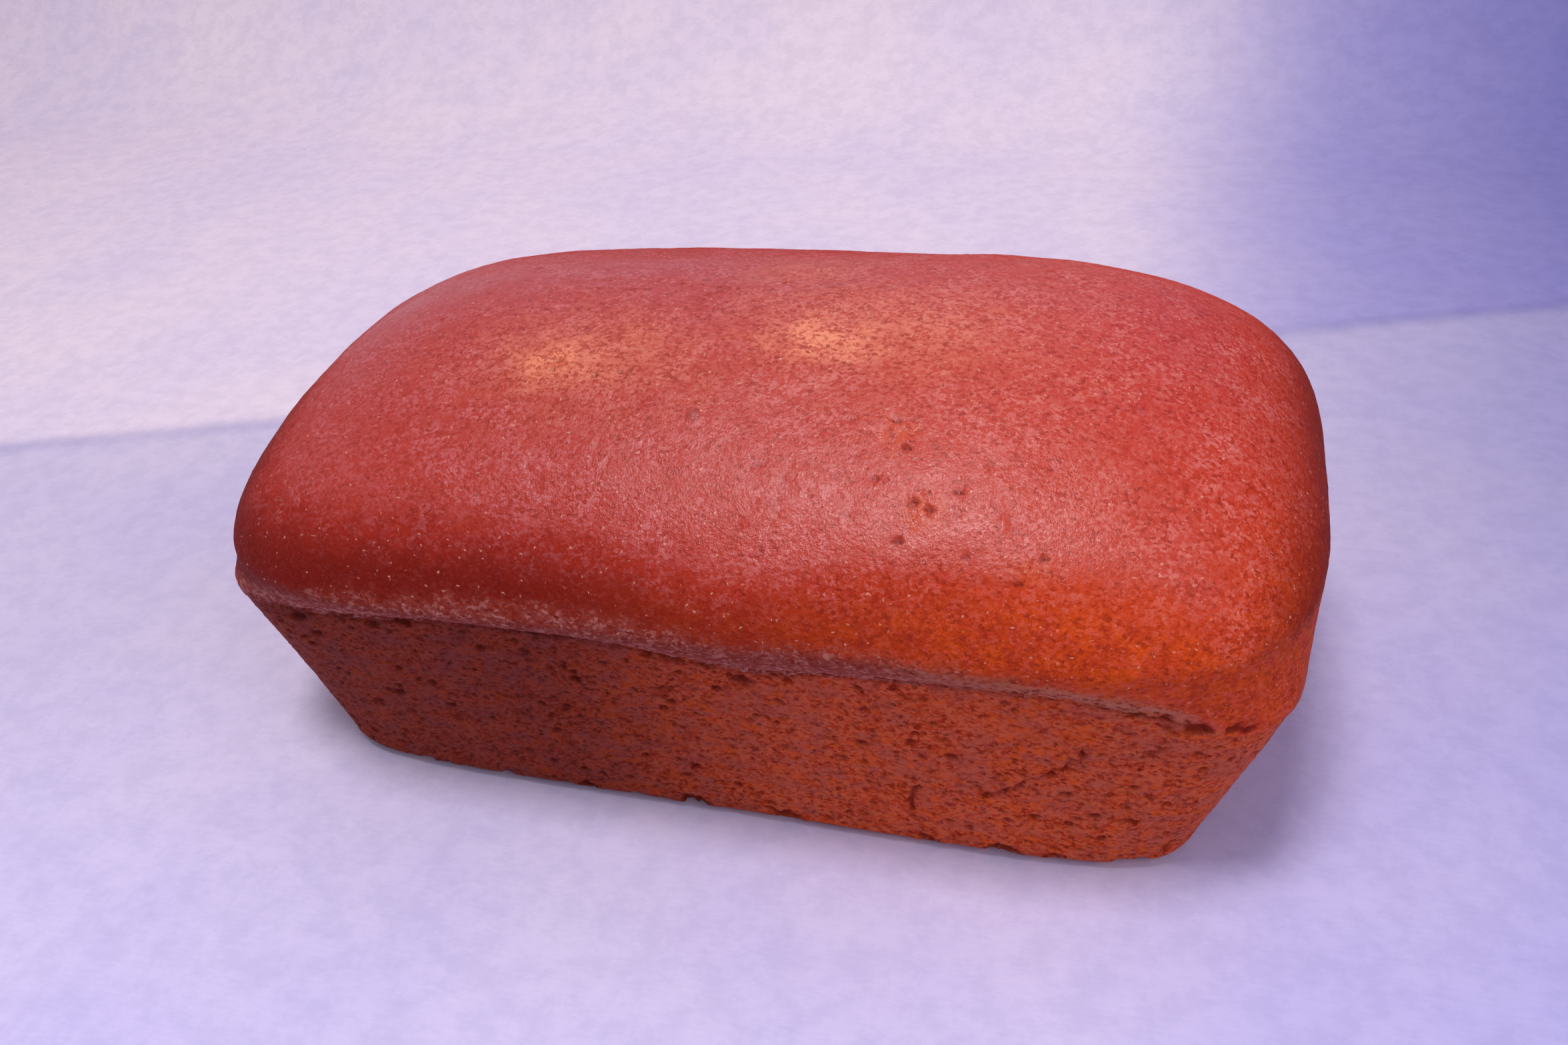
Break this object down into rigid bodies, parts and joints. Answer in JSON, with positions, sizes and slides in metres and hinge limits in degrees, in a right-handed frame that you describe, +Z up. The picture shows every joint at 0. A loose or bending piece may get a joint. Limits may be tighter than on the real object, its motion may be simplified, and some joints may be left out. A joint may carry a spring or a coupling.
{
  "type": "loaf of bread",
  "caption": "Whole uncut tin loaf of brown bread with tapered pitted sides, a lip at the rim line and a long domed crust, resting on a flat base.",
  "frame": {"origin": "middle of the bounding box's underside, on the surface the loaf stands on", "axes": "+X along the loaf's length, +Y across it towards its back, +Z up through the crown"},
  "size_m": [0.2476, 0.1502, 0.1037],
  "materials": {
    "crust": "dry browned bread crust, satin on the dome, matte and pitted on the sides"
  },
  "bodies": {
    "root": {"loaf": "crust"}
  },
  "joints": []
}
